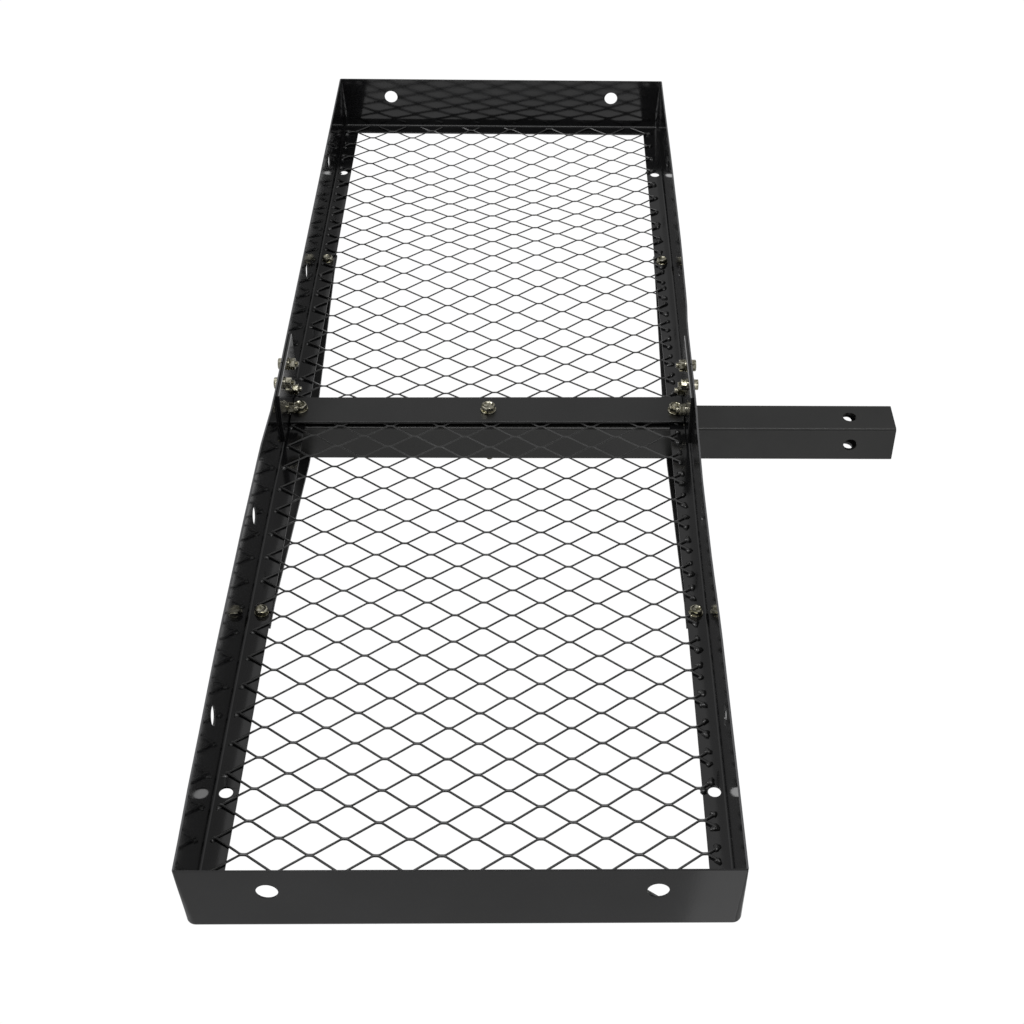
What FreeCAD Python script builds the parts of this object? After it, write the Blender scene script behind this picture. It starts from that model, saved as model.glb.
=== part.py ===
"""Hitch cargo carrier: two bolted half trays on a square hitch tube.

Millimetres, +Z up. +X runs along the shank toward the vehicle, +Y along the tray.
The origin is the centre of the hitch pin hole, on the axis of the hitch tube.
"""
import FreeCAD, Part
import math
import os

V = FreeCAD.Vector
UP = V(0, 0, 1)

# Hitch tube
TUBE_SIDE = 50.8
TUBE_CORNER_R = 4.0
TUBE_WALL = 4.0
TUBE_LENGTH = 766.0
PIN_HOLE_R = 8.5
PIN_TO_SHANK_END = 56.0

# Tray
TRAY_LENGTH = 1524.0
TRAY_WIDTH = 508.0
RAIL_HEIGHT = 82.0
FLANGE_WIDTH = 25.4
SHEET = 2.0
BEND_INSIDE_R = 2.5
CORNER_TOP_R = 2.5               # the welded upright corners are rounder toward the bottom
CORNER_LOW_R = 9.0
CORNER_STEP = 1.5                # inside corner radii are smaller by this much
JOINT_GAP = 2.0                 # between the two half trays
PIN_TO_TRAY_CENTRE = 460.0

# Holes in the rails
TIE_HOLE_R = 10.0
TIE_HOLE_HEIGHT = 52.0
SIDE_TIE_HOLES = (252.0, 552.0)  # distances from the middle of the tray
END_TIE_HOLE_OFFSET = 175.0
FLANGE_HOLE_R = 6.5
FLANGE_HOLE_EDGE = 13.5          # from the outer face of the rail
FLANGE_HOLE_Y = 608.0

# Expanded metal
MESH_BOND = 6.5                  # length of the joint between four strands
MESH_STRAND = 2.4                # strand width, measured along Y
MESH_THICKNESS = 4.0
MESH_SIDE = 245.0                # half width of a mesh panel
MESH_INNER_Y = 8.0
MESH_OUTER_Y = 752.0
LONG_WAY = 62.75                 # pitch of the diamonds across the tray
SHORT_WAY = 39.9                 # pitch along the tray
# Where one strand joint of each panel is, and how many degrees its rows are turned
NEAR_MESH = {"joint": (5.1, -424.9), "skew": 0.0}
FAR_MESH = {"joint": (-3.8, 366.3), "skew": 2.2}

# Centre hardware
BAR_WIDTH = 51.6
BAR_THICKNESS = 3.0
BAR_LENGTH = 494.0
SPLICE_LENGTH = 130.0
SPLICE_THICKNESS = 4.0
SPLICE_BOTTOM = 8.0
SPLICE_TOP = 79.0
STRAP_WIDTH = 24.0
STRAP_THICKNESS = 4.0
STRAP_X = 239.5
STRAP_TAB_END = 376.0
STRAP_TAB_BEND = 338.0
STRAP_FLAT = 32.0

# Fastener positions
CLAMP_BOLT_X = (-237.0, 0.0, 237.0)
SPLICE_BOLT_Y = 20.0
SPLICE_BOLT_HEIGHTS = (26.0, 65.0)
BRACE_BOLT_X = 239.0
BRACE_BOLT_Y = 357.0

# Fastener sizes
M10 = {"shank": 10.0, "hole": 11.0, "flats": 16.0, "head": 6.4, "nut": 8.4, "washer": 20.0, "washer_t": 2.0}
M8 = {"shank": 8.0, "hole": 9.0, "flats": 13.0, "head": 5.3, "nut": 6.8, "washer": 16.0, "washer_t": 1.6}
NUT_CLEARANCE = 0.1
CLAMP_BOLT_LENGTH = 80.0
SPLICE_BOLT_LENGTH = 20.0
BRACE_BOLT_LENGTH = 20.0

# The tray's own axes: x from its middle, z from the underside of its flanges, which is the top of the tube
TRAY_PLACE = V(-PIN_TO_TRAY_CENTRE, 0, TUBE_SIDE / 2)

HALF_W = TRAY_WIDTH / 2
HALF_L = TRAY_LENGTH / 2
BEND_OUTSIDE_R = BEND_INSIDE_R + SHEET
MESH_TOP = SHEET + MESH_THICKNESS
BAR_TOP = MESH_TOP + BAR_THICKNESS
TUBE_BOTTOM = -TUBE_SIDE


def polygon_face(points):
    return Part.Face(Part.makePolygon(points + points[:1]))


def cylinder(radius, start, direction, length):
    return Part.makeCylinder(radius, length, start, direction)


def bore(solid, radius, centre, direction, reach=40.0):
    """Cut a round hole through whatever lies within reach of centre."""
    return solid.cut(cylinder(radius, centre - direction * reach, direction, 2 * reach))


def rounded_square(side, corner_r, x):
    """Square with rounded corners in the YZ plane at x, centred on the X axis."""
    wire = Part.makePolygon([V(x, -side / 2, -side / 2), V(x, side / 2, -side / 2),
                             V(x, side / 2, side / 2), V(x, -side / 2, side / 2),
                             V(x, -side / 2, -side / 2)])
    prism = Part.Face(wire).extrude(V(1, 0, 0))
    edges = [e for e in prism.Edges if abs(e.tangentAt(e.FirstParameter).x) > 0.9]
    faces = prism.makeFillet(corner_r, edges).Faces
    return min(faces, key=lambda f: f.CenterOfMass.x)


def tub(inset, corner_top_r, corner_low_r, bend_r, low, high):
    """Block set in from the outside of the tray, with rounded upright edges and a rounded bottom edge."""
    half_w = HALF_W - inset
    half_l = HALF_L - inset
    block = Part.makeBox(2 * half_w, 2 * half_l, high - low, V(-half_w, -half_l, low))
    for x in (-half_w, half_w):
        for y in (-half_l, half_l):
            middle = V(x, y, (low + high) / 2)
            upright = min(block.Edges, key=lambda e: e.CenterOfMass.distanceToPoint(middle))
            block = block.makeFillet(corner_low_r, corner_top_r, [upright])
    return block.makeFillet(bend_r, [e for e in block.Edges if e.BoundBox.ZMax < low + 0.01])


def folded_sheet():
    """All the rails in one: upright walls on four sides, and a flange turned in below them."""
    outside = tub(0, CORNER_TOP_R, CORNER_LOW_R, BEND_OUTSIDE_R, 0, RAIL_HEIGHT)
    inside = tub(SHEET, CORNER_TOP_R - CORNER_STEP, CORNER_LOW_R - CORNER_STEP,
                 BEND_INSIDE_R, SHEET, RAIL_HEIGHT + 1)
    opening = Part.makeBox(TRAY_WIDTH - 2 * FLANGE_WIDTH, TRAY_LENGTH - 2 * FLANGE_WIDTH, 3 * SHEET,
                           V(FLANGE_WIDTH - HALF_W, FLANGE_WIDTH - HALF_L, -SHEET))
    return outside.cut(inside).cut(opening)


def part_over(sheet, outline):
    """What stands over an outline, given as (x, y) corners."""
    column = polygon_face([V(x, y, -1) for x, y in outline]).extrude(UP * (RAIL_HEIGHT + 2))
    return sheet.common(column)


def side_rail(sheet):
    """Rail on the -X side of the half tray on the -Y side, mitred at its outer end."""
    reach = FLANGE_WIDTH + 5
    joint = -JOINT_GAP / 2
    rail = part_over(sheet, [(-HALF_W - 1, -HALF_L - 1), (-HALF_W + reach, -HALF_L + reach),
                             (-HALF_W + reach, joint), (-HALF_W - 1, joint)])
    for distance in SIDE_TIE_HOLES:
        rail = bore(rail, TIE_HOLE_R, V(-HALF_W, -distance, TIE_HOLE_HEIGHT), V(1, 0, 0))
    for height in SPLICE_BOLT_HEIGHTS:
        rail = bore(rail, M8["hole"] / 2, V(-HALF_W, -SPLICE_BOLT_Y, height), V(1, 0, 0))
    rail = bore(rail, FLANGE_HOLE_R, V(-HALF_W + FLANGE_HOLE_EDGE, -FLANGE_HOLE_Y, 0), UP)
    rail = bore(rail, M8["hole"] / 2, V(-BRACE_BOLT_X, -BRACE_BOLT_Y, 0), UP)
    return bore(rail, M10["hole"] / 2, V(CLAMP_BOLT_X[0], 0, 0), UP)


def end_rail(sheet):
    """Rail across the -Y end, mitred at both ends."""
    reach = FLANGE_WIDTH + 5
    rail = part_over(sheet, [(-HALF_W - 1, -HALF_L - 1), (HALF_W + 1, -HALF_L - 1),
                             (HALF_W - reach, -HALF_L + reach), (-HALF_W + reach, -HALF_L + reach)])
    for x in (-END_TIE_HOLE_OFFSET, END_TIE_HOLE_OFFSET):
        rail = bore(rail, TIE_HOLE_R, V(x, -HALF_L, TIE_HOLE_HEIGHT), V(0, 1, 0))
    return rail


def mesh_opening(x, y):
    """Corners of one diamond opening centred on (x, y)."""
    tip = LONG_WAY / 2 - MESH_BOND / 2
    shoulder = MESH_BOND / 2
    rise = SHORT_WAY / 2 - MESH_STRAND
    return [V(x - tip, y, 0), V(x - shoulder, y + rise, 0), V(x + shoulder, y + rise, 0),
            V(x + tip, y, 0), V(x + shoulder, y - rise, 0), V(x - shoulder, y - rise, 0)]


def mesh_openings(pattern):
    """Openings all over a lattice with a strand joint at the pattern's joint, turned about it."""
    turn = FreeCAD.Rotation(UP, pattern["skew"])
    pivot = V(pattern["joint"][0], pattern["joint"][1], 0)
    columns = 20
    rows = 50
    found = []
    for row in range(-rows, rows + 1):
        for column in range(-columns, columns + 1):
            x = (column + 0.5 + 0.5 * (row % 2)) * LONG_WAY
            y = row * SHORT_WAY / 2
            found.append([pivot + turn.multVec(corner) for corner in mesh_opening(x, y)])
    return found


def mesh_panel(pattern, y_low, y_high):
    """Sheet of expanded metal between y_low and y_high, lying on the flanges."""
    sheet = [V(-MESH_SIDE, y_low, 0), V(MESH_SIDE, y_low, 0), V(MESH_SIDE, y_high, 0), V(-MESH_SIDE, y_high, 0)]
    whole = [Part.makePolygon(sheet + sheet[:1])]
    cut_at_edge = []
    for corners in mesh_openings(pattern):
        inside = [abs(c.x) < MESH_SIDE - 0.5 and y_low + 0.5 < c.y < y_high - 0.5 for c in corners]
        if all(inside):
            whole.append(Part.makePolygon(corners + corners[:1]))
        elif min(abs(c.x) for c in corners) < MESH_SIDE + 1 and \
                max(c.y for c in corners) > y_low - 1 and min(c.y for c in corners) < y_high + 1:
            cut_at_edge.append(polygon_face(corners).extrude(UP * MESH_THICKNESS))
    panel = Part.makeFace(Part.makeCompound(whole), "Part::FaceMakerBullseye").extrude(UP * MESH_THICKNESS)
    panel = panel.cut(Part.makeCompound(cut_at_edge))
    panel.translate(UP * SHEET)
    bolt_side = math.copysign(BRACE_BOLT_Y, y_low + y_high)
    for x in (-BRACE_BOLT_X, BRACE_BOLT_X):
        panel = bore(panel, M8["washer"] / 2 + 1, V(x, bolt_side, 0), UP)
    return max(panel.Solids, key=lambda solid: solid.Volume)


def hitch_tube():
    """Square tube under the tray, on the X axis, with crossed pin holes and the clamp bolt holes."""
    start = PIN_TO_SHANK_END - TUBE_LENGTH
    outside = rounded_square(TUBE_SIDE, TUBE_CORNER_R, start).extrude(V(TUBE_LENGTH, 0, 0))
    inside = rounded_square(TUBE_SIDE - 2 * TUBE_WALL, 1.5, start - 1).extrude(V(TUBE_LENGTH + 2, 0, 0))
    tube = outside.cut(inside)
    tube = bore(tube, PIN_HOLE_R, V(0, 0, 0), UP)
    tube = bore(tube, PIN_HOLE_R, V(0, 0, 0), V(0, 1, 0))
    for x in CLAMP_BOLT_X:
        tube = bore(tube, M10["hole"] / 2, V(x - PIN_TO_TRAY_CENTRE, 0, 0), UP)
    return tube


def clamp_bar():
    """Flat bar over the inner ends of both mesh panels."""
    bar = Part.makeBox(BAR_LENGTH, BAR_WIDTH, BAR_THICKNESS, V(-BAR_LENGTH / 2, -BAR_WIDTH / 2, MESH_TOP))
    long_top_edges = [e for e in bar.Edges if abs(e.CenterOfMass.z - BAR_TOP) < 0.01
                      and abs(abs(e.CenterOfMass.y) - BAR_WIDTH / 2) < 0.01]
    bar = bar.makeFillet(1.5, long_top_edges)
    for x in CLAMP_BOLT_X:
        bar = bore(bar, M10["hole"] / 2, V(x, 0, BAR_TOP), UP)
    return bar


def splice_plate():
    """Plate inside the -X wall, across the joint of the half trays."""
    inner_face = -HALF_W + SHEET
    plate = Part.makeBox(SPLICE_THICKNESS, SPLICE_LENGTH, SPLICE_TOP - SPLICE_BOTTOM,
                         V(inner_face, -SPLICE_LENGTH / 2, SPLICE_BOTTOM))
    for y in (-SPLICE_BOLT_Y, SPLICE_BOLT_Y):
        for height in SPLICE_BOLT_HEIGHTS:
            plate = bore(plate, M8["hole"] / 2, V(inner_face, y, height), V(1, 0, 0))
    return plate


def brace():
    """Flat strap on the -X side, from flange to flange by way of the underside of the tube."""
    low = TUBE_BOTTOM
    top_line = [(-STRAP_TAB_END, 0), (-STRAP_TAB_BEND, 0), (-STRAP_FLAT, low),
                (STRAP_FLAT, low), (STRAP_TAB_BEND, 0), (STRAP_TAB_END, 0)]
    bottom_line = [(y, z - STRAP_THICKNESS) for y, z in reversed(top_line)]
    edge_x = -STRAP_X - STRAP_WIDTH / 2
    strap = polygon_face([V(edge_x, y, z) for y, z in top_line + bottom_line]).extrude(V(STRAP_WIDTH, 0, 0))
    strap = bore(strap, M10["hole"] / 2, V(CLAMP_BOLT_X[0], 0, low), UP)
    for y in (-BRACE_BOLT_Y, BRACE_BOLT_Y):
        strap = bore(strap, M8["hole"] / 2, V(-BRACE_BOLT_X, y, 0), UP)
    return strap


def hexagon(flats, height, base, direction):
    """Hexagonal prism standing on base, along direction."""
    corner_r = flats / math.sqrt(3)
    corners = [V(corner_r * math.cos(math.radians(60 * k)), corner_r * math.sin(math.radians(60 * k)), 0)
               for k in range(6)]
    prism = polygon_face(corners).extrude(UP * height)
    dome = Part.makeCone(flats / 2 + height * 1.6, flats / 2, height)
    prism = prism.common(dome)
    prism.Placement = FreeCAD.Placement(base, FreeCAD.Rotation(UP, direction))
    return prism


def bolt(size, length, seat, outward):
    """Hex bolt whose head sits on seat; outward points from the seat to the top of the head."""
    head = hexagon(size["flats"], size["head"], seat, outward)
    return head.fuse(cylinder(size["shank"] / 2, seat, outward * -1, length)).removeSplitter()


def washer(size, seat, outward):
    ring = cylinder(size["washer"] / 2, seat, outward, size["washer_t"])
    return ring.cut(cylinder(size["hole"] / 2, seat, outward, size["washer_t"]))


def nut(size, seat, outward):
    body = hexagon(size["flats"], size["nut"], seat, outward)
    return body.cut(cylinder(size["shank"] / 2 + NUT_CLEARANCE, seat, outward, size["nut"]))


def fastened(size, length, head_seat, nut_seat, outward):
    """Bolt, two washers and nut. The washers lie on head_seat and nut_seat."""
    stack = outward * size["washer_t"]
    return {"bolts": [bolt(size, length, head_seat + stack, outward)],
            "washers": [washer(size, head_seat, outward), washer(size, nut_seat, outward * -1)],
            "nuts": [nut(size, nut_seat - stack, outward * -1)]}


def gather(name, sets):
    """One node for each kind of fastener in sets, each holding separate solids."""
    kinds = ("bolts", "washers", "nuts")
    return {name + "_" + kind: Part.makeCompound([s for one in sets for s in one[kind]]) for kind in kinds}


def clamp_fasteners():
    """Through the clamp bar and the tube; the outer two also hold the braces."""
    sets = []
    for x in CLAMP_BOLT_X:
        under = TUBE_BOTTOM - (STRAP_THICKNESS if x else 0)
        sets.append(fastened(M10, CLAMP_BOLT_LENGTH, V(x, 0, BAR_TOP), V(x, 0, under), UP))
    return gather("clamp", sets)


def splice_fasteners():
    """Four through each splice plate, heads outside."""
    sets = []
    for side in (-1, 1):
        outward = V(side, 0, 0)
        for y in (-SPLICE_BOLT_Y, SPLICE_BOLT_Y):
            for height in SPLICE_BOLT_HEIGHTS:
                outer = V(side * HALF_W, y, height)
                inner = V(side * (HALF_W - SHEET - SPLICE_THICKNESS), y, height)
                sets.append(fastened(M8, SPLICE_BOLT_LENGTH, outer, inner, outward))
    return gather("splice", sets)


def brace_fasteners():
    """One through each end of each brace, heads on top of the flange."""
    sets = []
    for x in (-BRACE_BOLT_X, BRACE_BOLT_X):
        for y in (-BRACE_BOLT_Y, BRACE_BOLT_Y):
            sets.append(fastened(M8, BRACE_BOLT_LENGTH, V(x, y, SHEET), V(x, y, -STRAP_THICKNESS), UP))
    return gather("brace", sets)


def mirrored(shape, normal):
    return shape.mirror(V(0, 0, 0), normal)


def tray_nodes():
    """Every node that is laid out in tray axes."""
    across = V(1, 0, 0)
    along = V(0, 1, 0)
    sheet = folded_sheet()
    near_left = side_rail(sheet)
    near_right = mirrored(near_left, across)
    near_end = end_rail(sheet)
    left_splice = splice_plate()
    left_brace = brace()
    nodes = {
        "near_left_rail": near_left,
        "near_right_rail": near_right,
        "near_end_rail": near_end,
        "near_mesh_panel": mesh_panel(NEAR_MESH, -MESH_OUTER_Y, -MESH_INNER_Y),
        "far_left_rail": mirrored(near_left, along),
        "far_right_rail": mirrored(near_right, along),
        "far_end_rail": mirrored(near_end, along),
        "far_mesh_panel": mesh_panel(FAR_MESH, MESH_INNER_Y, MESH_OUTER_Y),
        "clamp_bar": clamp_bar(),
        "left_splice_plate": left_splice,
        "right_splice_plate": mirrored(left_splice, across),
        "left_brace": left_brace,
        "right_brace": mirrored(left_brace, across),
    }
    nodes.update(clamp_fasteners())
    nodes.update(splice_fasteners())
    nodes.update(brace_fasteners())
    return nodes


def main():
    os.makedirs("parts", exist_ok=True)
    nodes = tray_nodes()
    for shape in nodes.values():
        shape.translate(TRAY_PLACE)
    nodes["hitch_tube"] = hitch_tube()
    for name, shape in nodes.items():
        print(name, len(shape.Solids), "solids", shape.isValid(), round(shape.Volume / 1000, 1), "cm3")
        shape.exportStep("parts/" + name + ".step")


main()
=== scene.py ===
import math

import bmesh
import bpy
from mathutils import Matrix, Vector


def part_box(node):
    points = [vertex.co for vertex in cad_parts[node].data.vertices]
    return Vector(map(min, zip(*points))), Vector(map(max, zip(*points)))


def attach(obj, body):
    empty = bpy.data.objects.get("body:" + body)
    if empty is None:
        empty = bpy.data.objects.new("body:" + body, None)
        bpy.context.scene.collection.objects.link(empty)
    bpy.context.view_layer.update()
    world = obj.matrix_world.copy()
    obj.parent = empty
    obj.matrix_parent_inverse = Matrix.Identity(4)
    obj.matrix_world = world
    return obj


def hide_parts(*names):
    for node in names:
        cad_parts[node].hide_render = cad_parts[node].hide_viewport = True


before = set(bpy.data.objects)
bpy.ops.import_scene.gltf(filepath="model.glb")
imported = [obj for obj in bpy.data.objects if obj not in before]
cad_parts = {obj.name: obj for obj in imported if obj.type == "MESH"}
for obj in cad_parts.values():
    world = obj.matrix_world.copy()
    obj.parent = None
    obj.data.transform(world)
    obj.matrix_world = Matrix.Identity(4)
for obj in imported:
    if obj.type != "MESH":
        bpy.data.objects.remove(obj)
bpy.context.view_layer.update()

# ---------------------------------------------------------------- places, from the frame

BODY = "root"
MM = 0.001
UP = Vector((0, 0, 1))

left_low, left_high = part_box("near_left_rail")
right_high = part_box("near_right_rail")[1]
near_low, near_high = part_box("near_end_rail")
far_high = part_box("far_end_rail")[1]
plate_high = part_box("left_splice_plate")[1]
bar_low, bar_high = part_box("clamp_bar")
near_mesh_low, near_mesh_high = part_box("near_mesh_panel")
far_mesh_low, far_mesh_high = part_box("far_mesh_panel")

TRAY_X = (near_low.x + near_high.x) / 2          # middle of the tray
TRAY_Y = (near_low.y + far_high.y) / 2
FLANGE_BOTTOM = near_low.z
MESH_BOTTOM = near_mesh_low.z                    # also the top of the flanges
WALL_TOP = near_high.z
FLANGE_WIDTH = left_high.x - left_low.x


def tray(x, y, z):
    """A point given in millimetres from the middle of the tray, z from the underside of the flanges."""
    return Vector((TRAY_X + x * MM, TRAY_Y + y * MM, FLANGE_BOTTOM + z * MM))


# ---------------------------------------------------------------- sizes of the detail

LONG_WAY = 62.75 * MM           # pitch of the diamonds across the tray
SHORT_WAY = 39.9 * MM           # pitch along the tray
BOND = 6.0 * MM                 # length of the joint between four strands
STRAND_THICKNESS = 1.7 * MM
STRAND_MIDDLE = 1.5 * MM        # height of the strands' middle over the flanges
BOND_TILT = math.radians(33)    # raised pattern: every joint leans, near side up
STRAND_TILT = math.radians(25)
# Where one joint of each panel is, the turn of its rows, the lean of its columns, the width of a
# strand, and the height of the waves in the sheet: one, two and three half waves along the panel
NEAR_MESH = {"joint": (5.1, -424.9), "row_turn": -0.1, "column_lean": 0.2, "strand": 2.55,
             "waves": (-0.2, -1.2, -2.9)}
FAR_MESH = {"joint": (-3.8, 366.3), "row_turn": 2.6, "column_lean": 1.9, "strand": 3.2,
            "waves": (-3.4, 2.7, -5.3)}
WAVE_WIDTH = 470 * MM           # the waves die out at the side flanges
STUB_CUT = 6.3 * MM             # strands end this far short of the panel's right-hand edge
RIGHT_HOLES = [tray(240.5, y, 0) for y in (-608, 608)]   # round holes in the right-hand flanges
HOLE_CLEAR = 10 * MM            # strands stop this far from the middle of such a hole
CLOSEST = 0.01 * MM             # rings of a strand are never closer than this
# Where along a strand its rings are, from 0 at one joint to 1 at the next: close at the turns
STRAND_SAMPLES = (-0.12, -0.07, -0.025, 0.025, 0.07, 0.25, 0.5, 0.75, 0.93, 0.975, 1.025, 1.07)
# Weld dots on the left are small, their coat painted lighter as painted light for how light falls on them; on
# the
# right larger and dark: where a dot lies from the strand's end, and its radius in millimetres
LEFT_DOTS = {"shift": Vector((-0.4, -2.0)) * MM, "radius": 2.8}
RIGHT_DOTS = {"shift": Vector((-1.0, 0.0)) * MM, "radius": 4.3}
DOT_SINK = 0.2 * MM             # dots start this far inside the flange
DOTS_APART = 5 * MM

M10 = {"shank": 10.0, "pitch": 1.5, "flats": 16.0, "head": 6.4}
M8 = {"shank": 8.0, "pitch": 1.25, "flats": 13.0, "head": 5.3}
SIZES = {"clamp": M10, "splice": M8, "brace": M8}
CHAMFER_FACE = 0.95             # round face of a chamfered hexagon, as a share of its flats
FINE_EDGE = 0.2 * MM            # corners of heads, nuts and washers are eased by this much
BORE_EDGE = 0.6 * MM            # chamfer of a nut's bore and of a bolt's tip
THREAD_DEPTH = 0.54             # as a share of the pitch
SMOOTH_SHANK = 0.25             # share of the shank without thread
RINGS_PER_TURN = 4
AROUND = 36                     # points around anything turned
SPIN = 2.39996                  # radians from one fastener of a set to the next

MERGE = 0.02 * MM               # CAD corners this close are one corner
FLAT = math.radians(1.0)        # CAD faces this close to level with one another are one face

# ---------------------------------------------------------------- materials


class Nodes:
    """Short names for wiring a material's node tree."""

    def __init__(self, name):
        self.material = bpy.data.materials.new(name)
        self.material.use_nodes = True
        self.tree = self.material.node_tree
        self.shader = self.tree.nodes["Principled BSDF"]
        self.coordinates = self.add("ShaderNodeTexCoord").outputs["Object"]

    def add(self, kind, **settings):
        node = self.tree.nodes.new(kind)
        for key, value in settings.items():
            setattr(node, key, value)
        return node

    def link(self, source, target):
        self.tree.links.new(source, target)

    def stretched(self, scale):
        """The object's coordinates, scaled differently along each axis."""
        mapping = self.add("ShaderNodeMapping")
        mapping.inputs["Scale"].default_value = scale
        self.link(self.coordinates, mapping.inputs["Vector"])
        return mapping.outputs["Vector"]

    def noise(self, scale, detail=3.0, roughness=0.55, vector=None):
        node = self.add("ShaderNodeTexNoise")
        node.inputs["Scale"].default_value = scale
        node.inputs["Detail"].default_value = detail
        node.inputs["Roughness"].default_value = roughness
        self.link(vector or self.coordinates, node.inputs["Vector"])
        return node.outputs["Fac"]

    def ramp(self, value, stops):
        """Values or colours at positions from 0 to 1."""
        node = self.add("ShaderNodeValToRGB")
        elements = node.color_ramp.elements
        while len(elements) < len(stops):
            elements.new(0.5)
        for element, (position, colour) in zip(elements, stops):
            element.position = position
            element.color = (colour if isinstance(colour, tuple) else (colour,) * 3) + (1.0,)
        self.link(value, node.inputs["Fac"])
        return node.outputs["Color"]

    def math(self, operation, a, b):
        node = self.add("ShaderNodeMath", operation=operation)
        for socket, value in zip(node.inputs, (a, b)):
            if isinstance(value, (int, float)):
                socket.default_value = value
            else:
                self.link(value, socket)
        return node.outputs["Value"]

    def mix(self, factor, a, b):
        node = self.add("ShaderNodeMix", data_type="RGBA")
        self.link(factor, node.inputs["Factor"])
        for socket, value in ((node.inputs[6], a), (node.inputs[7], b)):
            if isinstance(value, tuple):
                socket.default_value = value + (1.0,)
            else:
                self.link(value, socket)
        return node.outputs[2]

    def bump(self, height, distance, strength, under=None):
        node = self.add("ShaderNodeBump")
        node.inputs["Distance"].default_value = distance
        node.inputs["Strength"].default_value = strength
        self.link(height, node.inputs["Height"])
        if under is not None:
            self.link(under, node.inputs["Normal"])
        return node.outputs["Normal"]


PAINTED_HIGHLIGHT_DEPTH = 0.3 * MM             # the painted highlight on a top edge goes down this far from the top


def powder_coat(name, colour, dusty, gloss, worn, peel, dust_amount, rim=None):
    """Black powder coat: orange peel, uneven gloss, faint handling marks and settled dust.

    gloss and worn are the lowest and highest roughness, peel the strength of the orange peel. The
    rim is a painted highlight, a paler colour painted on a top edge for the light caught there: its
    height, how far from the middle of the tray it reaches, and its colour.
    """
    n = Nodes(name)
    cloud = n.noise(9.0, 4.0)
    fine = n.noise(160.0, 4.0)
    base = n.mix(n.ramp(cloud, ((0.35, 0.0), (0.7, 1.0))), colour, dusty)
    specks = n.ramp(n.noise(900.0, 2.0, 0.7), ((0.71 - dust_amount, 0.0), (0.76 - dust_amount, 1.0)))
    speck_colour = tuple(min(1.0, c * 5) for c in dusty)
    coloured = n.mix(specks, base, speck_colour)
    # Painted highlight: a paler colour on the top edge, standing in for light caught there
    if rim is not None:
        height, reach, painted_highlight_colour = rim
        split = n.add("ShaderNodeSeparateXYZ")
        n.link(n.coordinates, split.inputs["Vector"])
        aside = n.math("ABSOLUTE", n.math("SUBTRACT", split.outputs["X"], TRAY_X), 0.0)
        on_painted_highlight = n.math("MULTIPLY", n.math("GREATER_THAN", split.outputs["Z"], height - PAINTED_HIGHLIGHT_DEPTH),
                        n.math("LESS_THAN", aside, reach))
        coloured = n.mix(on_painted_highlight, coloured, painted_highlight_colour)
    n.link(coloured, n.shader.inputs["Base Color"])
    rubbed = n.noise(22.0, 5.0, 0.65, n.stretched((1.0, 0.35, 1.0)))
    uneven = n.math("MULTIPLY", n.ramp(rubbed, ((0.3, 0.0), (0.75, 1.0))), worn - gloss)
    rough = n.math("ADD", uneven, gloss)
    n.link(n.math("ADD", rough, n.math("MULTIPLY", fine, 0.03)), n.shader.inputs["Roughness"])
    orange_peel = n.bump(n.noise(420.0, 2.0), 0.0004, peel)
    ripple = n.bump(n.noise(30.0, 2.0), 0.002, peel * 0.25, orange_peel)
    n.link(ripple, n.shader.inputs["Normal"])
    n.shader.inputs["Specular IOR Level"].default_value = 0.5
    n.shader.inputs["IOR"].default_value = 1.5
    return n.material


def zinc_plate(name):
    """Bright zinc plate with soft handling haze and a slight yellow passivation tint."""
    n = Nodes(name)
    haze = n.noise(260.0, 4.0)
    n.link(n.mix(n.ramp(haze, ((0.42, 0.0), (0.60, 1.0))), (0.46, 0.44, 0.36), (0.10, 0.095, 0.06)),
           n.shader.inputs["Base Color"])
    n.shader.inputs["Metallic"].default_value = 1.0
    n.link(n.math("ADD", n.math("MULTIPLY", n.noise(700.0, 3.0), 0.16), 0.07), n.shader.inputs["Roughness"])
    n.link(n.bump(n.noise(1400.0, 3.0), 0.0002, 0.35), n.shader.inputs["Normal"])
    return n.material


def grey(value):
    return (value, value, value)


RAIL_BLACK = (0.0042, 0.0042, 0.0045)
RAIL_DUSTY = (0.0085, 0.0085, 0.0090)
SIDE_EDGE_HIGHLIGHT = (WALL_TOP, 1.0, (0.07, 0.07, 0.073))          # painted highlight along the side walls' top edges; its reach takes in every side wall
# Painted highlight, nearly white, along the splice plates' inner top edges, for the light they catch
PLATE_EDGE_HIGHLIGHT = (plate_high.z, TRAY_X - plate_high.x + 1.0 * MM, grey(0.24))

rail_coat = powder_coat("rail_coat", RAIL_BLACK, RAIL_DUSTY, 0.06, 0.10, 0.03, 0.0)
side_coat = powder_coat("side_coat", RAIL_BLACK, RAIL_DUSTY, 0.07, 0.11, 0.03, 0.0, rim=SIDE_EDGE_HIGHLIGHT)
plate_coat = powder_coat("plate_coat", RAIL_BLACK, RAIL_DUSTY, 0.15, 0.21, 0.05, 0.0, rim=PLATE_EDGE_HIGHLIGHT)
mesh_coat = powder_coat("mesh_coat", grey(0.025), grey(0.042), 0.22, 0.36, 0.15, 0.0)
tube_coat = powder_coat("tube_coat", (0.0045, 0.0045, 0.0042), (0.009, 0.009, 0.0083), 0.30, 0.42, 0.10, 0.01)
bracket_coat = powder_coat("bracket_coat", grey(0.0015), grey(0.0045), 0.28, 0.42, 0.12, 0.01)
weld_coat = powder_coat("weld_coat", grey(0.006), grey(0.012), 0.05, 0.14, 0.9, 0.0)
# The weld coat painted lighter: painted light for the lit left-hand weld dots
painted_lit_weld_coat = powder_coat("painted_lit_weld_coat", grey(0.040), grey(0.065), 0.12, 0.24, 0.5, 0.0)
zinc = zinc_plate("zinc")

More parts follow.
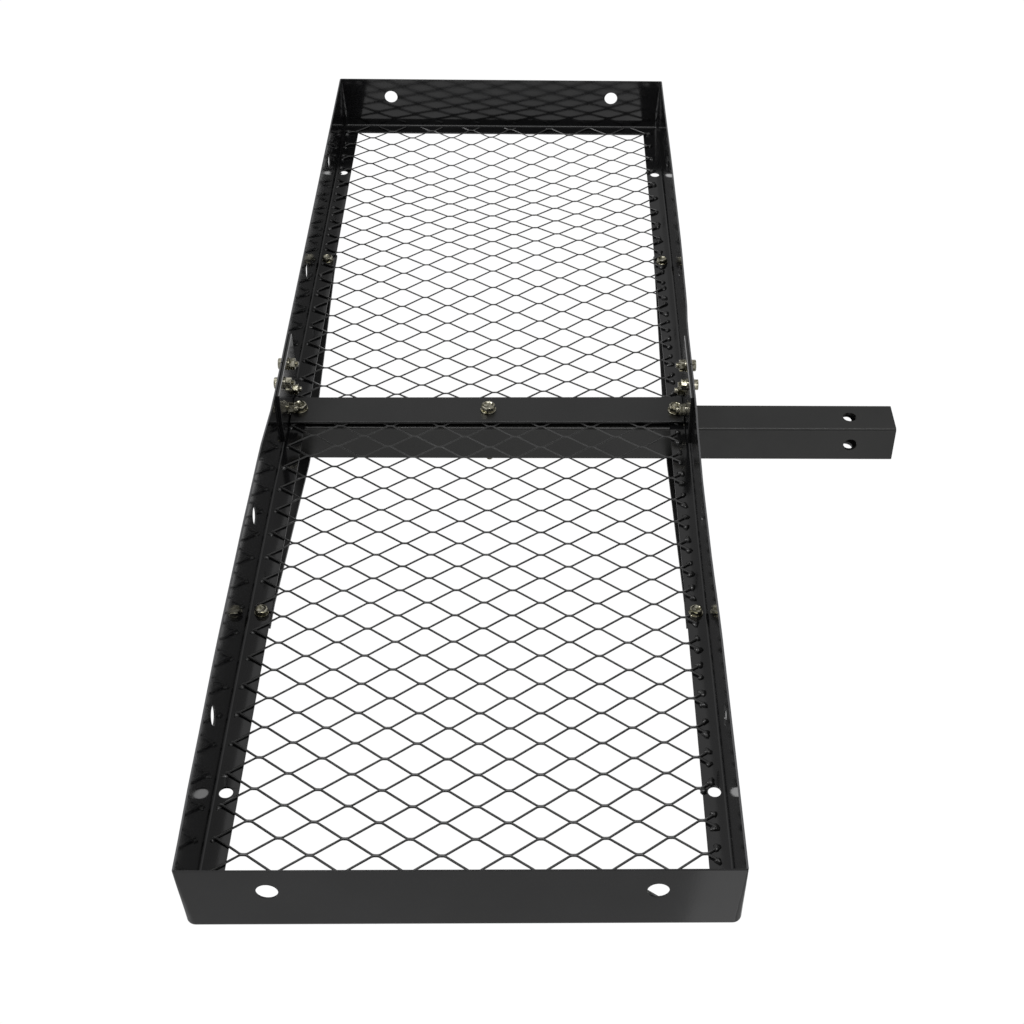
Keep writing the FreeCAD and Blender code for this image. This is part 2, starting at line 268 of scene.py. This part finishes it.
# ---------------------------------------------------------------- CAD nodes that stay

EDGE_ROUND = {"rail": 0.5 * MM, "tube": 0.4 * MM, "bar": 0.4 * MM, "plate": 0.5 * MM, "brace": 0.5 * MM}


def round_edges(piece, edge):
    """Small radius on every sharp edge."""
    bevel = piece.modifiers.new("edges", "BEVEL")
    bevel.width = edge
    bevel.segments = 2
    bevel.limit_method = "ANGLE"
    bevel.angle_limit = math.radians(35)
    bevel.use_clamp_overlap = False
    bevel.harden_normals = False
    normals = piece.modifiers.new("normals", "WEIGHTED_NORMAL")
    normals.keep_sharp = True


def dress(node, material, edge):
    """Round the sharp edges of a CAD node and give it its finish."""
    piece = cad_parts[node]
    piece.data.materials.clear()
    piece.data.materials.append(material)
    weld = piece.modifiers.new("weld", "WELD")
    weld.merge_threshold = MERGE
    flat = piece.modifiers.new("flat", "DECIMATE")
    flat.decimate_type = "DISSOLVE"
    flat.angle_limit = FLAT
    round_edges(piece, edge)


dress("hitch_tube", tube_coat, EDGE_ROUND["tube"])
for node in ("left_splice_plate", "right_splice_plate"):
    dress(node, plate_coat, EDGE_ROUND["plate"])
for node in ("left_brace", "right_brace"):
    dress(node, bracket_coat, EDGE_ROUND["brace"])

# ---------------------------------------------------------------- pieces


def finished(bm, name):
    """The mesh of a bmesh, which is then freed."""
    mesh = bpy.data.meshes.new(name)
    bm.to_mesh(mesh)
    bm.free()
    return mesh


def add_piece(name, mesh, material, smooth_angle=35):
    """Make a mesh into a piece that rides on the carrier."""
    mesh.materials.append(material)
    for polygon in mesh.polygons:
        polygon.use_smooth = True
    mesh.set_sharp_from_angle(angle=math.radians(smooth_angle))
    piece = bpy.data.objects.new(name, mesh)
    bpy.context.scene.collection.objects.link(piece)
    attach(piece, BODY)
    return piece


# How far each wall's top edge is out of true, to the right, at places along the tray: (y, shift) in
# millimetres from the middle of the tray. Between two places it eases from one to the other.
LEANS = {
    "near_left": ((-762, -2.4), (-640, -4.0), (-480, -5.4), (-330, -5.0), (-180, -3.8), (-75, 0.0)),
    "near_right": ((-762, 0.0), (-480, -0.3), (-330, -2.2), (-230, -2.6), (-150, -1.6), (-75, 0.0)),
    "far_left": ((75, 0.0), (762, 0.0)),
    "far_right": ((75, 0.0), (150, 2.6), (300, 3.8), (450, 3.6), (762, 2.2)),
}
LEAN_STRIPS = 24                 # a wall is cut in this many strips so that it can bend
CUT_SNAP = 0.001 * MM
FOOT_SHARE = 0.35                # part of that shift already there at the wall's foot


def lean_at(wall, y):
    """Shift of a wall's top edge at a place along the tray, in millimetres."""
    points = LEANS[wall]
    if y <= points[0][0]:
        return points[0][1]
    for (start, a), (end, b) in zip(points, points[1:]):
        if y <= end:
            t = (y - start) / (end - start)
            return a + (b - a) * t * t * (3 - 2 * t)
    return points[-1][1]


def leaning(half, place):
    """Sideways shift of a point of one half tray: some at the walls' feet, the rest growing with height."""
    y = (place.y - TRAY_Y) / MM
    share = (place.x - left_low.x) / (right_high.x - left_low.x)
    height = max(0.0, (place.z - MESH_BOTTOM) / (WALL_TOP - MESH_BOTTOM))
    left, right = lean_at(half + "_left", y), lean_at(half + "_right", y)
    from_wall = min(place.x - left_low.x, right_high.x - place.x)
    foot = FOOT_SHARE * max(0.0, 1 - from_wall / FLANGE_WIDTH) * (left if share < 0.5 else right)
    top = (1 - FOOT_SHARE) * height * (left * (1 - share) + right * share)
    return Vector(((foot + top) * MM, 0, 0))


def reshaped(node, suffix, material, edge, shift_at, strips=1):
    """Replace a CAD node by a copy of its mesh, cut in strips along the tray, with every corner shifted."""
    bm = bmesh.new()
    bm.from_mesh(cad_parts[node].data)
    bmesh.ops.remove_doubles(bm, verts=bm.verts, dist=MERGE)
    bmesh.ops.dissolve_limit(bm, angle_limit=FLAT, verts=bm.verts, edges=bm.edges)
    low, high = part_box(node)
    for step in range(1, strips):
        cut = low.lerp(high, step / strips)
        bmesh.ops.bisect_plane(bm, geom=bm.verts[:] + bm.edges[:] + bm.faces[:], dist=CUT_SNAP,
                               plane_co=cut, plane_no=(0, 1, 0))
    for vertex in bm.verts:
        vertex.co += shift_at(vertex.co)
    piece = add_piece(node + suffix, finished(bm, node + suffix), material)
    round_edges(piece, edge)
    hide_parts(node)


for half in ("near", "far"):
    def spring(place, half=half):
        return leaning(half, place)

    for side, coat, strips in (("left", side_coat, LEAN_STRIPS), ("right", side_coat, LEAN_STRIPS),
                               ("end", rail_coat, 1)):
        reshaped(half + "_" + side + "_rail", "_sprung", coat, EDGE_ROUND["rail"],
                 spring, strips)

BAR_SKEW = 0.0075                # rise of the clamp bar's long edges along +Y per unit of +X
BOLT_LINE = 15 * MM              # corners this near the bar's middle line, such as its holes, stay

def askew(place):
    """Shift of a corner of the clamp bar along the tray."""
    if abs(place.y - (bar_low.y + bar_high.y) / 2) < BOLT_LINE:
        return Vector((0, 0, 0))
    return Vector((0, (place.x - bar_low.x) * BAR_SKEW, 0))


reshaped("clamp_bar", "_askew", bracket_coat, EDGE_ROUND["bar"], askew)


def sweep_ring(centre, across, normal, half_width, half_thick):
    """Eight points of a flat bar's section with eased corners."""
    ease = 0.35 * half_thick
    corners = ((half_width, half_thick - ease), (half_width - ease, half_thick),
               (-half_width + ease, half_thick), (-half_width, half_thick - ease),
               (-half_width, -half_thick + ease), (-half_width + ease, -half_thick),
               (half_width - ease, -half_thick), (half_width, -half_thick + ease))
    return [centre + across * u + normal * v for u, v in corners]


def join_rings(bm, rings, closed=False):
    """Join rings of points into a solid, capped at both ends or closed on itself."""
    made = [[bm.verts.new(point) for point in ring] for ring in rings]
    pairs = list(zip(made, made[1:])) + ([(made[-1], made[0])] if closed else [])
    for first, second in pairs:
        for k in range(len(first)):
            after = (k + 1) % len(first)
            bm.faces.new((first[k], first[after], second[after], second[k]))
    if not closed:
        bm.faces.new(list(reversed(made[0])))
        bm.faces.new(made[-1])


def eased_ramp(t, ease=0.07):
    """0 before 0 and 1 after 1, straight between, with rounded turns."""
    if t <= -ease:
        return 0.0
    if t < ease:
        return (t + ease) ** 2 / (4 * ease)
    if t <= 1 - ease:
        return t
    if t < 1 + ease:
        return 1 - (1 + ease - t) ** 2 / (4 * ease)
    return 1.0


def hole_gap(place):
    """Distance to the middle of the nearest right-hand flange hole, seen from above."""
    return min((place.xy - hole.xy).length for hole in RIGHT_HOLES)


class ExpandedMetal:
    """Zigzag strands that meet at tilted bonds, on a slightly wavy sheet."""

    def __init__(self, pattern, low, high):
        self.node = tray(*pattern["joint"], 0)
        across = math.tan(math.radians(pattern["row_turn"]))
        lean = math.tan(math.radians(pattern["column_lean"]))
        self.turn = Matrix(((1, -lean, 0), (across, 1, 0), (0, 0, 1)))
        self.waves = pattern["waves"]
        self.width = pattern["strand"] * MM
        self.low = low
        self.high = high - Vector((STUB_CUT, 0, 0))
        self.half = LONG_WAY / 2
        self.rise = SHORT_WAY / 2
        self.run = self.half - BOND
        self.middle = low.z + STRAND_MIDDLE

    def wave(self, x, y):
        """Height of the sheet above its flat place."""
        along = min(max((y - self.low.y) / (self.high.y - self.low.y), 0), 1)
        heights = (size * MM * math.sin((k + 1) * math.pi * along) for k, size in enumerate(self.waves))
        return sum(heights) * max(0.0, math.cos(math.pi * (x - TRAY_X) / WAVE_WIDTH))

    def centre(self, row, x):
        """Middle of the strand between bond rows row and row + 1, at lattice distance x from the node."""
        step = math.floor(x / self.half)
        t = (x - step * self.half - BOND / 2) / self.run
        rising = (step + row) % 2 == 0
        share = eased_ramp(t) if rising else 1 - eased_ramp(t)
        side = share * 2 - 1
        y = (row + share) * self.rise - side * self.width / 2 * math.cos(BOND_TILT)
        z = side * self.width / 2 * math.sin(BOND_TILT)
        place = self.node + self.turn @ Vector((x, y, 0))
        slope = 1 - abs(side)
        return Vector((place.x, place.y, self.middle + z + self.wave(place.x, place.y))), slope

    def ring(self, row, x):
        """Section of the strand at one lattice distance, tilted as the raised pattern tilts it."""
        point, slope = self.centre(row, x)
        ahead, _ = self.centre(row, x + 0.2 * MM)
        along = (ahead - point).normalized()
        tilt = BOND_TILT + (STRAND_TILT - BOND_TILT) * min(1.0, slope * 2)
        lean = Vector((0, math.cos(tilt), -math.sin(tilt)))
        across = (lean - along * lean.dot(along)).normalized()
        return sweep_ring(point, across, along.cross(across), self.width / 2, STRAND_THICKNESS / 2)

    def inside(self, row, x):
        """Whether the strand is there: within the panel and clear of the flange holes."""
        point, _ = self.centre(row, x)
        in_panel = self.low.x <= point.x <= self.high.x and self.low.y <= point.y <= self.high.y
        return in_panel and hole_gap(point) >= HOLE_CLEAR

    def edge(self, row, kept, cut):
        """Lattice distance where the strand leaves the panel."""
        for _ in range(12):
            halfway = (kept + cut) / 2
            if self.inside(row, halfway):
                kept = halfway
            else:
                cut = halfway
        return kept

    def runs(self):
        """Every unbroken stretch of strand inside the panel, as (row, distances)."""
        width = self.high.x - self.low.x + 0.1
        height = self.high.y - self.low.y + 0.1
        steps = math.ceil(width / self.half) + 1
        rows = math.ceil(height / self.rise) + 2
        for row in range(-rows, rows + 1):
            distances = [step * self.half + BOND / 2 + t * self.run
                         for step in range(-steps, steps + 1) for t in STRAND_SAMPLES]
            stretch = []
            before = distances[0]
            for x in distances[1:]:
                if self.inside(row, x):
                    if not stretch and not self.inside(row, before):
                        stretch.append(self.edge(row, x, before))
                    stretch.append(x)
                elif stretch:
                    stretch.append(self.edge(row, stretch[-1], x))
                    yield row, stretch
                    stretch = []
                before = x
            if stretch:
                yield row, stretch

    def build(self, name):
        """The mesh of all the strands, and the places where they end."""
        bm = bmesh.new()
        ends = []
        for row, distances in self.runs():
            distances = [x for k, x in enumerate(distances) if k == 0 or x - distances[k - 1] > CLOSEST]
            if len(distances) < 2:
                continue
            join_rings(bm, [self.ring(row, x) for x in distances])
            ends.append(self.centre(row, distances[0])[0])
            ends.append(self.centre(row, distances[-1])[0])
        bmesh.ops.recalc_face_normals(bm, faces=bm.faces)
        return finished(bm, name), ends


def lump(bm, centre, radius, height, seed):
    """A low weld dot, slightly uneven."""
    around = 10
    rings = []
    for share, rise in ((1.0, 0.0), (0.92, 0.45), (0.62, 0.85), (0.25, 1.0)):
        ring = []
        for k in range(around):
            angle = 2 * math.pi * k / around
            wobble = 1 + 0.2 * math.sin(3 * angle + seed * 2.4) + 0.14 * math.sin(2 * angle + seed * 1.7)
            out = radius * share * wobble
            ring.append(centre + Vector((math.cos(angle) * out, math.sin(angle) * out, rise * height)))
        rings.append(ring)
    join_rings(bm, rings)


def weld_dots(name, ends, edge_x, kind):
    """A dot wherever a strand ends on one side flange, at the panel's edge or at a flange hole."""
    bm = bmesh.new()
    placed = []
    for end in ends:
        place = Vector((end.x + kind["shift"].x, end.y + kind["shift"].y, MESH_BOTTOM - DOT_SINK))
        apart = all((place - other).length >= DOTS_APART for other in placed)
        at_hole = edge_x > TRAY_X and hole_gap(end) < HOLE_CLEAR + 0.5 * MM
        if apart and (at_hole or abs(end.x - edge_x) < 1 * MM):
            placed.append(place)
    for k, place in enumerate(placed):
        radius = kind["radius"] + 0.7 * math.sin(k * 2.1)
        height = 0.75 * kind["radius"] + 0.6 * math.sin(k * 1.3)
        lump(bm, place, radius * MM, height * MM, k)
    return finished(bm, name)


for side, pattern, low, high in (("near", NEAR_MESH, near_mesh_low, near_mesh_high),
                                 ("far", FAR_MESH, far_mesh_low, far_mesh_high)):
    metal = ExpandedMetal(pattern, low, high)
    mesh, ends = metal.build(side + "_mesh_strands")
    strands = add_piece(side + "_mesh_strands", mesh, mesh_coat)
    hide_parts(side + "_mesh_panel")
    left_dots = weld_dots(side + "_left_welds", ends, low.x, LEFT_DOTS)
    add_piece(side + "_left_welds", left_dots, painted_lit_weld_coat, 60)
    right_dots = weld_dots(side + "_right_welds", ends, high.x - STUB_CUT, RIGHT_DOTS)
    add_piece(side + "_right_welds", right_dots, weld_coat, 60)


def islands(node):
    """Lowest and highest corner of each separate solid in a CAD node."""
    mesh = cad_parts[node].data
    key_of = [tuple(round(c * 20000) for c in v.co) for v in mesh.vertices]
    parent = {key: key for key in key_of}

    def root(key):
        while parent[key] != key:
            parent[key] = parent[parent[key]]
            key = parent[key]
        return key

    for polygon in mesh.polygons:
        keys = [key_of[v] for v in polygon.vertices]
        for other in keys[1:]:
            parent[root(other)] = root(keys[0])
    groups = {}
    for vertex, key in zip(mesh.vertices, key_of):
        groups.setdefault(root(key), []).append(vertex.co)
    boxes = [(Vector([min(p[i] for p in points) for i in range(3)]),
              Vector([max(p[i] for p in points) for i in range(3)])) for points in groups.values()]
    return sorted(boxes, key=lambda b: tuple(round(c, 4) for c in b[0]))


def lathe(bm, place, rings, closed):
    """Rings of (radius, height) values or functions of the angle, turned about the local Z axis."""
    turned = []
    for ring in rings:
        points = []
        for k in range(AROUND):
            angle = 2 * math.pi * k / AROUND
            radius, height = ring(angle) if callable(ring) else ring
            points.append(place @ Vector((radius * math.cos(angle), radius * math.sin(angle), height)))
        turned.append(points)
    join_rings(bm, turned, closed)


def hex_radius(angle, flats):
    """Distance from a hexagon's middle to its outline, with the six corners slightly blunted."""
    from_flat = (angle % (math.pi / 3)) - math.pi / 6
    return min(flats / 2 / math.cos(from_flat), flats / math.sqrt(3) - 0.15 * MM)


def hex_rings(flats, height, both_ends):
    """Side of a hexagon whose corners are cut back by a 30 degree chamfer cone."""
    face = flats / 2 * CHAMFER_FACE
    slope = math.tan(math.radians(30))

    def outline(inset, level, cone):
        """The hexagon's outline at a level, which the cone raises (1) or lowers (-1) at the corners."""
        def at(angle):
            radius = hex_radius(angle, flats)
            return radius - inset, level + cone * max(0.0, radius - face) * slope
        return at

    if both_ends:
        foot = [(face, 0.0), outline(0.0, 0.0, 1)]
    else:
        foot = [outline(FINE_EDGE, 0.0, 0), outline(0.0, FINE_EDGE, 0)]
    return foot + [outline(0.0, height - 0.1 * MM, -1), outline(FINE_EDGE, height, -1),
                   (face, height - 0.05 * MM), (face * 0.97, height)]


def dished(rings, flats, height):
    """The top of a bolt head pressed down in the middle, inside a narrow rim."""
    face = flats / 2 * CHAMFER_FACE
    return rings + [(face * 0.86, height), (face * 0.72, height - 0.9 * MM),
                    (face * 0.4, height - 1.2 * MM), (face * 0.1, height - 1.2 * MM)]


def add_bolt(bm, place, size, length):
    """Head above z = 0 and shank below it, threaded from the end of its smooth part to its tip."""
    flats, head = size["flats"] * MM, size["head"] * MM
    lathe(bm, place, dished(hex_rings(flats, head, False), flats, head), False)
    radius, pitch = size["shank"] * MM / 2, size["pitch"] * MM
    depth = THREAD_DEPTH * pitch
    smooth = SMOOTH_SHANK * length
    steps = int((length - smooth - pitch) / pitch * RINGS_PER_TURN)

    def thread(z):
        def ring(angle):
            turn = (z / pitch + angle / (2 * math.pi)) % 1.0
            return radius - depth * (1 - abs(2 * turn - 1)), z
        return ring

    rings = [(radius, 0.0), (radius, -smooth)]
    rings += [thread(-smooth - (k + 1) * pitch / RINGS_PER_TURN) for k in range(steps)]
    rings += [(radius - depth, -length + BORE_EDGE), (radius - depth - BORE_EDGE, -length)]
    lathe(bm, place, list(reversed(rings)), False)


def add_nut(bm, place, size, height):
    """Seat on z = 0, rising along +Z, with a chamfered bore."""
    flats, bore = size["flats"] * MM, size["shank"] * MM / 2 + 0.1 * MM
    rings = [(bore, BORE_EDGE), (bore + BORE_EDGE, 0.0)] + hex_rings(flats, height, True)
    rings += [(bore + BORE_EDGE, height), (bore, height - BORE_EDGE)]
    lathe(bm, place, rings, True)


def add_washer(bm, place, inner, outer, thick):
    """Flat ring with eased edges, its underside on z = 0."""
    ease = FINE_EDGE
    rings = [(inner, ease), (inner + ease, 0.0), (outer - ease, 0.0), (outer, ease),
             (outer, thick - ease), (outer - ease, thick), (inner + ease, thick), (inner, thick - ease)]
    lathe(bm, place, rings, True)


def outward_of(kind, middle):
    """Direction in which a fastener's head points."""
    if kind == "splice":
        return Vector((math.copysign(1, middle.x - TRAY_X), 0, 0))
    return UP


def fasteners(kind, part):
    """Detailed bolts, washers or nuts for one set, each where the CAD solid is."""
    size = SIZES[kind]
    node = kind + "_" + part
    bm = bmesh.new()
    for index, (low, high) in enumerate(islands(node)):
        middle = (low + high) / 2
        outward = outward_of(kind, middle)
        axis = max(range(3), key=lambda i: abs(outward[i]))
        length = high[axis] - low[axis]
        spin = Matrix.Rotation(index * SPIN, 4, "Z")
        if part == "nuts":
            base, direction = middle + outward * (length / 2), -outward
        elif part == "bolts":
            base, direction = middle + outward * (length / 2 - size["head"] * MM), outward
        else:
            base, direction = middle - outward * (length / 2), outward
        place = Matrix.Translation(base) @ direction.to_track_quat("Z", "Y").to_matrix().to_4x4() @ spin
        if part == "bolts":
            add_bolt(bm, place, size, length - size["head"] * MM)
        elif part == "nuts":
            add_nut(bm, place, size, length)
        else:
            outer = (high[(axis + 1) % 3] - low[(axis + 1) % 3]) / 2
            add_washer(bm, place, size["shank"] * MM / 2 + 0.5 * MM, outer, length)
    bmesh.ops.recalc_face_normals(bm, faces=bm.faces)
    piece = add_piece(node + "_detailed", finished(bm, node + "_detailed"), zinc, 25)
    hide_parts(node)


for kind in SIZES:
    for part in ("bolts", "washers", "nuts"):
        fasteners(kind, part)

# ---------------------------------------------------------------- camera

# The camera as it was worked out from the photograph
CAMERA_PLACE = Vector((-0.3874, -1.6427, 1.2990))
AZIMUTH = math.radians(1.784)
LOOKING_DOWN = math.radians(41.137)
ROLL = math.radians(1.286)
FOCAL_LENGTH = 57.47             # millimetres, on a sensor 36 mm wide
PICTURE_SHIFT = -0.0702          # sideways, of the picture's middle from the lens's axis, in sensor widths

forward = Vector((math.sin(AZIMUTH) * math.cos(LOOKING_DOWN), math.cos(AZIMUTH) * math.cos(LOOKING_DOWN),
                  -math.sin(LOOKING_DOWN)))
level = Vector((math.cos(AZIMUTH), -math.sin(AZIMUTH), 0))
upward = level.cross(forward)
axis_x = level * math.cos(ROLL) + upward * math.sin(ROLL)
axis_y = upward * math.cos(ROLL) - level * math.sin(ROLL)
turned = Matrix((axis_x, axis_y, -forward)).transposed().to_4x4()

camera_data = bpy.data.cameras.new("camera")
camera_data.sensor_width = 36.0
camera_data.lens = FOCAL_LENGTH
camera_data.shift_x = PICTURE_SHIFT
camera_data.clip_start = 0.05
camera_data.clip_end = 200.0
camera = bpy.data.objects.new("camera", camera_data)
camera.matrix_world = Matrix.Translation(CAMERA_PLACE) @ turned
bpy.context.scene.collection.objects.link(camera)
bpy.context.scene.camera = camera

# ---------------------------------------------------------------- studio

bpy.context.scene.view_settings.view_transform = "Standard"

SKY_LEFT = 0.64                  # the studio is brighter on the left
SKY_RIGHT = 0.51
SKY_LOW = 0.72                   # and brighter overhead
SKY_HIGH = 1.4
FLOOR_SHINE = 0.50               # what the glossy coat sees of the floor, underneath and far off
FLOOR_FAR_SHINE = 0.95
FLOOR_DROP = 3.4                 # the carrier hangs well above the floor, so no shadow shows
FLOOR_REACH = 80.0
FLOOR_GLOW = 1.02                # just past white


def glowing(name, colour, strength):
    """A material that gives off light and nothing else."""
    material = bpy.data.materials.new(name)
    material.use_nodes = True
    tree = material.node_tree
    tree.nodes.clear()
    out = tree.nodes.new("ShaderNodeOutputMaterial")
    glow = tree.nodes.new("ShaderNodeEmission")
    glow.inputs["Color"].default_value = colour + (1.0,)
    glow.inputs["Strength"].default_value = strength
    tree.links.new(glow.outputs["Emission"], out.inputs["Surface"])
    return material


bm = bmesh.new()
bmesh.ops.create_grid(bm, x_segments=8, y_segments=8, size=FLOOR_REACH)
floor_mesh = finished(bm, "floor")
floor_mesh.materials.append(glowing("white_floor", (1.0, 1.0, 1.0), FLOOR_GLOW))
floor = bpy.data.objects.new("floor", floor_mesh)
floor.location = (TRAY_X, TRAY_Y, FLANGE_BOTTOM - FLOOR_DROP)
bpy.context.scene.collection.objects.link(floor)
floor.visible_glossy = False     # its sheen in the coat comes from the lower half of the world

world = bpy.data.worlds.new("studio")
world.use_nodes = True
bpy.context.scene.world = world
background = world.node_tree.nodes["Background"]
background.inputs["Color"].default_value = (1.0, 1.0, 1.0, 1.0)


def world_node(kind, **settings):
    node = world.node_tree.nodes.new(kind)
    for key, value in settings.items():
        setattr(node, key, value)
    return node


def world_link(source, target):
    world.node_tree.links.new(source, target)


def graded(value, start, end, low, high):
    """low where the value is start, high where it is end, eased between."""
    node = world_node("ShaderNodeMapRange", interpolation_type="SMOOTHSTEP")
    for socket, number in zip(list(node.inputs)[1:5], (start, end, low, high)):
        socket.default_value = number
    world_link(value, node.inputs["Value"])
    return node.outputs["Result"]


# The world's brightness in each direction: the sky above the horizon, the floor's sheen below it
direction = world_node("ShaderNodeSeparateXYZ")
world_link(world_node("ShaderNodeTexCoord").outputs["Generated"], direction.inputs["Vector"])
above = world_node("ShaderNodeMath", operation="MULTIPLY")
world_link(graded(direction.outputs["X"], -0.35, 0.35, SKY_LEFT, SKY_RIGHT), above.inputs[0])
world_link(graded(direction.outputs["Z"], 0.45, 0.85, SKY_LOW, SKY_HIGH), above.inputs[1])
horizon = world_node("ShaderNodeMix", data_type="FLOAT")
world_link(graded(direction.outputs["Z"], -0.02, 0.02, 0.0, 1.0), horizon.inputs["Factor"])
below = graded(direction.outputs["Z"], -0.55, -0.42, FLOOR_SHINE, FLOOR_FAR_SHINE)
world_link(below, horizon.inputs["A"])
world_link(above.outputs["Value"], horizon.inputs["B"])
world_link(horizon.outputs["Result"], background.inputs["Strength"])


def softbox(name, place, aim, width, height, power):
    """A rectangular light at a place, facing the place it is aimed at."""
    data = bpy.data.lights.new(name, "AREA")
    data.shape = "RECTANGLE"
    data.size = width
    data.size_y = height
    data.energy = power
    light = bpy.data.objects.new(name, data)
    light.location = place
    light.rotation_mode = "QUATERNION"
    light.rotation_quaternion = (Vector(place) - aim).to_track_quat("Z", "Y")
    bpy.context.scene.collection.objects.link(light)


middle = tray(0, 0, 0)
softbox("key", middle + Vector((-2.3, -0.5, 1.9)), middle, 1.2, 1.2, 28)
softbox("overhead", middle + Vector((0.2, -0.9, 2.6)), middle, 1.6, 0.5, 16)
near_right_corner = middle + Vector((0.25, -0.76, 0))
softbox("low_right", middle + Vector((0.62, -1.75, -1.3)), near_right_corner, 0.5, 0.9, 0.6)
